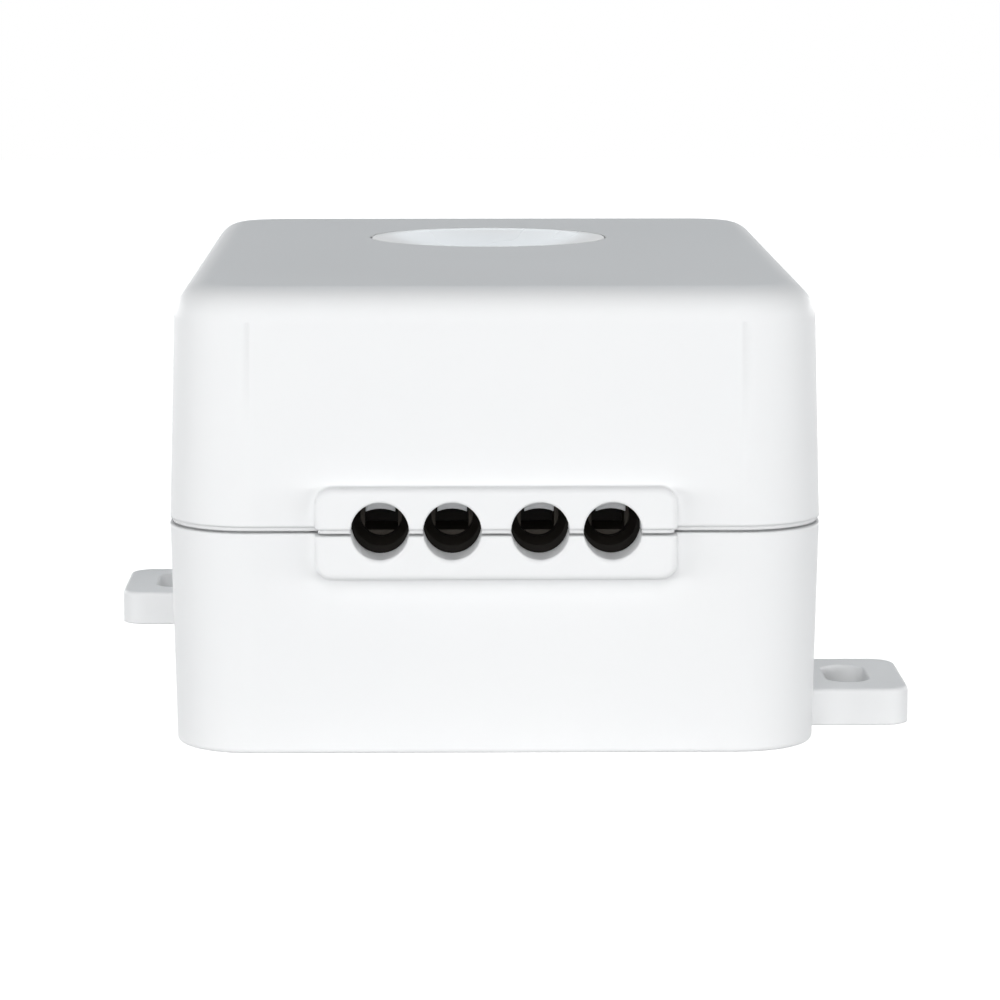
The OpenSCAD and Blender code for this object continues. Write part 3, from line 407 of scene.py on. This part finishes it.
clear_finish, place = finish_of("relay_smoke")
wander = noise(place, 0.004)
surface(place, mix(wander, (0.1, 0.16, 0.24), (0.13, 0.2, 0.29)), 0.08 + wander * 0.06,
        alpha=0.3 + wander * 0.06, normal=dents(noise(place, 0.003), 0.00002))
dress(clear_finish, "relay_case")


# Relay coil: enamelled copper wire in close turns on the bobbin.
# Each turn is a real one: a small ring of the wire's section, spun round the core with a rise.
turn_d = 0.00026
turn_sides = 8
turn_steps = 28
coil_low, coil_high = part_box("relay_winding")
coil_middle = middle_of("relay_winding")
coil_r = (coil_high[0] - coil_low[0]) / 2 - turn_d / 2
coil_turns = int((coil_high[2] - coil_low[2]) / turn_d) - 1
coil_start = coil_low[2] + turn_d / 2

winding = bmesh.new()
at = Matrix.Translation((coil_middle.x + coil_r, coil_middle.y, coil_start))
at = at @ Matrix.Rotation(math.pi / 2, 4, "X")
bmesh.ops.create_circle(winding, segments=turn_sides, radius=turn_d / 2, matrix=at)
rise = (coil_high[2] - coil_low[2] - turn_d) / (coil_turns * turn_steps)
bmesh.ops.spin(winding, geom=winding.verts[:] + winding.edges[:], cent=coil_middle, axis=(0, 0, 1),
               dvec=(0, 0, rise), angle=math.tau * coil_turns, steps=coil_turns * turn_steps)
bmesh.ops.holes_fill(winding, edges=[e for e in winding.edges if e.is_boundary], sides=turn_sides)
bmesh.ops.recalc_face_normals(winding, faces=winding.faces[:])
for face in winding.faces:
    face.smooth = True


def piece_of(shape, name, material):
    """A new object from a finished bmesh."""
    mesh = bpy.data.meshes.new(name)
    shape.to_mesh(mesh)
    shape.free()
    mesh.materials.append(material)
    made = bpy.data.objects.new(name, mesh)
    bpy.context.scene.collection.objects.link(made)
    return made


enamel_finish, place = finish_of("winding_copper")
stain = noise(place, 0.0008, detail=3)
surface(place, mix(stain, (0.42, 0.13, 0.04), (0.6, 0.22, 0.07)), 0.22 + stain * 0.1, metallic=0.9)
dress(enamel_finish, "relay_winding")
coil = piece_of(winding, "relay_coil", enamel_finish)
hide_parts("relay_winding")
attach(coil, "base")


# Transformer: two sintered ferrite halves round a taped winding, on a black bobbin with pins.
# Polyester tape closes the winding in overlapping turns, and the ferrite is ground and chalky.
ferrite_finish, place = finish_of("ferrite")
speck = noise(place, 0.0003, detail=5)
surface(place, mix(speck, (0.028, 0.028, 0.03), (0.06, 0.06, 0.063)), 0.5 + speck * 0.25,
        normal=dents(speck, 0.00003))
dress(ferrite_finish, "transformer_core")

tape_width = 0.0011
tape_finish, place = finish_of("winding_tape")
x, y, z = axes(place)
layer = z.math("FRACT", z * (1 / tape_width))
lap = layer < 0.12
wrinkle = noise(place, 0.0014, detail=3)
surface(place, mix(lap, mix(wrinkle, (0.66, 0.43, 0.03), (0.76, 0.54, 0.06)), (0.5, 0.31, 0.02)),
        0.22 + wrinkle * 0.16, normal=dents(layer * 0.5 + wrinkle * 0.5, 0.00006))
dress(tape_finish, "transformer_winding")


# Fusible resistor: a ceramic rod in grey-green cement with four painted bands and two end caps.
# Its tinned leads are bent down through the board.
resistor_low, resistor_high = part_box("fusible_resistor")
resistor_x = (resistor_low[0] + resistor_high[0]) / 2
resistor_half = 0.0045
band_width = 0.0007
bands = ((-0.0022, (0.3, 0.13, 0.03)), (-0.0006, (0.02, 0.02, 0.02)), (0.0008, (0.02, 0.02, 0.02)),
         (0.0024, (0.55, 0.4, 0.1)))

resistor_finish, place = finish_of("resistor_enamel")
x, y, z = axes(place)
speck = noise(place, 0.0004, detail=4)
skin = mix(speck, (0.11, 0.19, 0.15), (0.16, 0.25, 0.2))
for offset, colour in bands:
    skin = mix(abs(x - (resistor_x + offset)) < band_width / 2, skin, colour)
lead = abs(x - resistor_x) > resistor_half
surface(place, mix(lead, skin, tin), 0.36 + speck * 0.14, metallic=lead, normal=dents(speck, 0.000015))
dress(resistor_finish, "fusible_resistor")


# Varistor: a zinc oxide disc dipped in blue epoxy, so the skin is orange-peeled and runs a little
# down the two tinned leads that it stands on.
disc_d = 0.0074
dip_run = 0.0003
drip = 0.0006
dip_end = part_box("varistor")[1][2] - disc_d - dip_run

varistor_finish, place = finish_of("varistor_blue")
x, y, z = axes(place)
peel = noise(place, 0.0009, detail=3)
lead = z + peel * drip < dip_end
surface(place, mix(lead, mix(peel, (0.012, 0.05, 0.2), (0.02, 0.08, 0.29)), tin), 0.24 + peel * 0.12,
        metallic=lead, normal=dents(peel, 0.00005))
dress(varistor_finish, "varistor")


# Electrolytic capacitors: aluminium cans in shrunk sleeves, with a pale stripe down the minus side,
# a bare top that is scored to vent, and tinned leads through a rubber bung.
sleeve_lip = 0.0006
sleeve_lip_h = 0.0005
score = 0.00012
bung_gap = 0.0001
stripe_start = 0.0025
dash_pitch = 0.00303


def electrolytic(name, sleeve, stripe):
    """Sleeve, stripe with dashes, scored top and leads of one can."""
    low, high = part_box(name)
    middle = middle_of(name)
    radius = (high[0] - low[0]) / 2
    finish, place = finish_of(name)
    x, y, z = axes(place)
    haze = noise(place, 0.002)
    bare = within(x, y, middle, radius - sleeve_lip) & (z > high[2] - sleeve_lip_h)
    scored = ((abs(x - middle.x) < score) | (abs(y - middle.y) < score)) & bare
    lead = z < board_top + bung_gap
    minus = (middle.y - y > radius * 0.8) & (z > low[2] + stripe_start)
    dash = minus & (abs(x - middle.x) < radius * 0.22)
    dash = dash & (z.math("FRACT", z * (1 / dash_pitch)) < 0.45)
    skin = mix(dash, mix(minus, mix(haze, sleeve, [c * 1.3 for c in sleeve]), stripe), sleeve)
    metal = bare | lead
    # The score lines on the bare top are painted darker grey: painted shade in the grooves, besides their
    # dent.
    colour = mix(scored, mix(metal, skin, (0.7, 0.71, 0.72)), (0.3, 0.3, 0.31))
    surface(place, colour, 0.2 + haze * 0.12 + metal * 0.12, metallic=metal,
            normal=dents(haze * 0.3 - scored * 0.7, 0.00008))
    dress(finish, name)


electrolytic("mains_capacitor", sleeve=(0.014, 0.014, 0.017), stripe=(0.42, 0.43, 0.42))
electrolytic("output_capacitor", sleeve=(0.018, 0.06, 0.05), stripe=(0.5, 0.5, 0.44))


# Film capacitor: a yellow moulded box, potted from below, on two feet and two leads.
# The box is glossy with faint sink marks on its broad sides.
film_finish, place = finish_of("film_yellow")
x, y, z = axes(place)
sink = noise(place, 0.004)
lead = z < board_top - 0.00002
surface(place, mix(lead, mix(sink, (0.68, 0.37, 0.02), (0.75, 0.43, 0.035)), tin), 0.18 + sink * 0.14,
        metallic=lead, normal=dents(sink, 0.00008))
dress(film_finish, "film_capacitor")


# Bridge rectifier and supply chip: black epoxy packages soldered flat under the board.
# The bodies are matt from a blasted mould, and their bent leads are tinned.
def chip(name, body_half):
    """One package, whose leads come out past its body on both long sides."""
    finish, place = finish_of(name)
    x, y, z = axes(place)
    grit = noise(place, 0.00012, detail=3)
    lead = abs(y - middle_of(name).y) > body_half
    surface(place, mix(lead, mix(grit, (0.014, 0.014, 0.015), (0.024, 0.024, 0.025)), tin),
            0.55 + grit * 0.2 - lead * 0.3, metallic=lead, normal=dents(grit, 0.00001))
    dress(finish, name)


chip("bridge_rectifier", body_half=0.0017)
chip("supply_chip", body_half=0.0019)


# Radio board: a thin green daughter board that stands on a pin header behind the button.
# A tinned can covers its chips, and a folded copper track at its free end is the aerial.
radio_pour_size = 0.0028
radio_pour_gap = 0.05

radio_finish, place = finish_of("radio_green")
cell_edge = place.node("TexVoronoi", {"feature": "DISTANCE_TO_EDGE"},
                       {"Vector": place, "Scale": 1 / radio_pour_size, "Randomness": 0.8}, out="Distance")
poured = cell_edge > radio_pour_gap
surface(place, mix(poured, (0.006, 0.055, 0.024), (0.012, 0.1, 0.042)), 0.26 + noise(place, 0.0006) * 0.14,
        normal=dents(poured, 0.000015))
dress(radio_finish, "radio_board")

aerial_width = 0.0005
aerial_height = 0.0042
aerial_pitch = 0.0012
aerial_folds = 5
aerial_t = 0.00004
aerial_in = 0.0007
radio_low, radio_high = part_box("radio_board")
aerial_x = radio_low[0] + aerial_in
aerial_z = radio_high[2] - aerial_in - aerial_height

aerial = bmesh.new()


def aerial_run(x, z, width, height):
    """One straight stretch of the track, flat on the board's inner face."""
    at = Matrix.Translation((x + width / 2, radio_low[1] - aerial_t / 2, z + height / 2))
    bmesh.ops.create_cube(aerial, size=1, matrix=at @ Matrix.Diagonal((width, aerial_t, height, 1)))


for fold in range(aerial_folds):
    x = aerial_x + fold * aerial_pitch
    aerial_run(x, aerial_z, aerial_width, aerial_height)
    across = aerial_z + aerial_height - aerial_width if fold % 2 else aerial_z
    if fold < aerial_folds - 1:
        aerial_run(x + aerial_width, across, aerial_pitch - aerial_width, aerial_width)
gilt_finish, place = finish_of("aerial_gilt")
stain = noise(place, 0.0006)
surface(place, mix(stain, (0.66, 0.45, 0.16), (0.76, 0.55, 0.24)), 0.24 + stain * 0.14, metallic=1)
aerial_track = piece_of(aerial, "radio_aerial", gilt_finish)
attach(aerial_track, "base")

shield_low, shield_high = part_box("radio_shield")
vent_pitch = 0.0022
vent_r = 0.0004
vent_in = 0.0013

shield_finish, place = finish_of("shield_tin")
x, y, z = axes(place)
stain = noise(place, 0.002, detail=5)
across = abs(x.math("FRACT", (x - shield_low[0]) * (1 / vent_pitch)) - 0.5) * vent_pitch
up = abs(z.math("FRACT", (z - shield_low[2]) * (1 / vent_pitch)) - 0.5) * vent_pitch
past_can = outside(x, z, (shield_low[0], shield_low[2]), (shield_high[0], shield_high[2]))
# The vent holes are not cut: they are painted black dots, painted shade for the dark inside of the can, with
# a shallow dent.
vent_hole_shade = within(across, up, (0, 0), vent_r) & (past_can < -vent_in)
surface(place, mix(vent_hole_shade, mix(stain, (0.56, 0.56, 0.54), (0.68, 0.68, 0.65)), (0.02, 0.02, 0.02)),
        0.24 + stain * 0.2, metallic=1, normal=dents(stain * 0.4 - vent_hole_shade * 0.6, 0.00006))
dress(shield_finish, "radio_shield")

header_t = 0.00201
header_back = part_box("radio_header")[1][1]

header_finish, place = finish_of("header_black")
x, y, z = axes(place)
grit = noise(place, 0.0003)
pin = (z < board_top - 0.00002) | (y < header_back - header_t)
surface(place, mix(pin, mix(grit, (0.016, 0.016, 0.017), (0.026, 0.026, 0.027)), (0.74, 0.54, 0.24)),
        0.45 + grit * 0.15 - pin * 0.2, metallic=pin, normal=dents(grit, 0.00001))
dress(header_finish, "radio_header")


# Tact switch: a moulded black body under a stamped steel frame, with a long plunger that the
# button's stem pushes. The frame's four legs go down through the board.
switch_finish, place = finish_of("switch_black")
grit = noise(place, 0.0003)
surface(place, mix(grit, (0.015, 0.015, 0.016), (0.025, 0.025, 0.026)), 0.42 + grit * 0.16,
        normal=dents(grit, 0.000008))
dress(switch_finish, "switch_body", "switch_plunger")

frame_finish, place = finish_of("switch_frame")
stain = noise(place, 0.0012, detail=5)
surface(place, mix(stain, (0.55, 0.55, 0.53), (0.68, 0.68, 0.66)), 0.22 + stain * 0.2, metallic=1,
        normal=dents(noise(place, 0.0002), 0.000004))
dress(frame_finish, "switch_frame")


# Indicator lamp: a white reflector cup on the board, filled with yellowish resin over its chip.
# It lights the button from below.
cup_r = 0.00128
cup_floor = board_top + 0.0012

lamp_finish, place = finish_of("lamp_white")
x, y, z = axes(place)
wander = noise(place, 0.0008)
cup = within(x, y, middle_of("indicator_led"), cup_r) & (z > cup_floor)
surface(place, mix(cup, mix(wander, (0.74, 0.73, 0.7), (0.8, 0.79, 0.76)), (0.72, 0.58, 0.12)),
        0.4 - cup * 0.25 + wander * 0.1, normal=dents(wander, 0.00001))
dress(lamp_finish, "indicator_led")


# Cover shell: the upper moulding, of the same white ABS and from the same texture of tool.
# It stands on the base's rim with a fine gap, and its bosses reach down to the base's pillars.
dress(shell_finish, "cover_shell")


# Push button: the same plastic from a polished tool, so its finger dish is smooth.
# It hangs in the cover on its flange, and its stem rests on the switch. Here it is turned with broken
# edges, and two ribs cross under its cap.
button_low, button_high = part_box("push_button")
button_middle = middle_of("push_button")
button_top = button_high[2]
stem_low = button_low[2]
cap_r = 0.0094
cap_low = button_top - 0.0042
flange_r = (button_high[0] - button_low[0]) / 2
flange_low = button_top - 0.00305
flange_high = button_top - 0.00205
hollow_r = 0.0078
hollow_high = cap_low + 0.0009
stem_r = 0.0024
rib_length = 0.0118
rib_width = 0.0012
rib_low = cap_low - 0.0016
dish_rim = 0.0092
dish_depth = 0.002
dish_r = (dish_rim ** 2 + dish_depth ** 2) / (2 * dish_depth)
dish_steps = 24
edge = 0.0001
button_steps = 160

button_line = []
for step in range(dish_steps + 1):
    r = dish_rim * step / dish_steps
    button_line.append((r, button_top - dish_depth + dish_r - math.sqrt(dish_r ** 2 - r ** 2)))
button_line += [(cap_r - edge, button_top), (cap_r, button_top - edge), (cap_r, flange_high),
                (flange_r - edge, flange_high), (flange_r, flange_high - edge), (flange_r, flange_low + edge),
                (flange_r - edge, flange_low), (cap_r, flange_low), (cap_r, cap_low + edge),
                (cap_r - edge, cap_low), (hollow_r, cap_low), (hollow_r, hollow_high), (stem_r, hollow_high),
                (stem_r, stem_low + edge), (stem_r - edge, stem_low), (0, stem_low)]

button = bmesh.new()
points = [button.verts.new((button_middle.x + r, button_middle.y, z)) for r, z in button_line]
edges = [button.edges.new(pair) for pair in zip(points, points[1:])]
bmesh.ops.spin(button, geom=points + edges, cent=button_middle, axis=(0, 0, 1), angle=math.tau,
               steps=button_steps, use_merge=True)
bmesh.ops.remove_doubles(button, verts=button.verts, dist=0.000001)
for turn in (45, 135):
    at = Matrix.Translation((button_middle.x, button_middle.y, (rib_low + hollow_high) / 2))
    at = at @ Matrix.Rotation(math.radians(turn), 4, "Z")
    bmesh.ops.create_cube(button, size=1,
                          matrix=at @ Matrix.Diagonal((rib_length, rib_width, hollow_high - rib_low, 1)))
bmesh.ops.recalc_face_normals(button, faces=button.faces)
for face in button.faces:
    face.smooth = True

button_finish, place = finish_of("button_white")
wander = noise(place, 0.008)
surface(place, mix(wander, (0.88, 0.885, 0.886), (0.895, 0.897, 0.898)), 0.24 + wander * 0.08,
        specular_ior_level=0.85, normal=dents(noise(place, 0.0004), 0.000001))
dress(button_finish, "push_button")
button_cap = piece_of(button, "button_cap", button_finish)
button_cap.data.set_sharp_from_angle(angle=math.radians(32))
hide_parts("push_button")
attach(button_cap, "button")


# Cover screws: four longer zinc-plated screws from below, deep in the base's pillars.
# They hold the cover by its bosses.
dress(zinc_finish, "cover_screws")
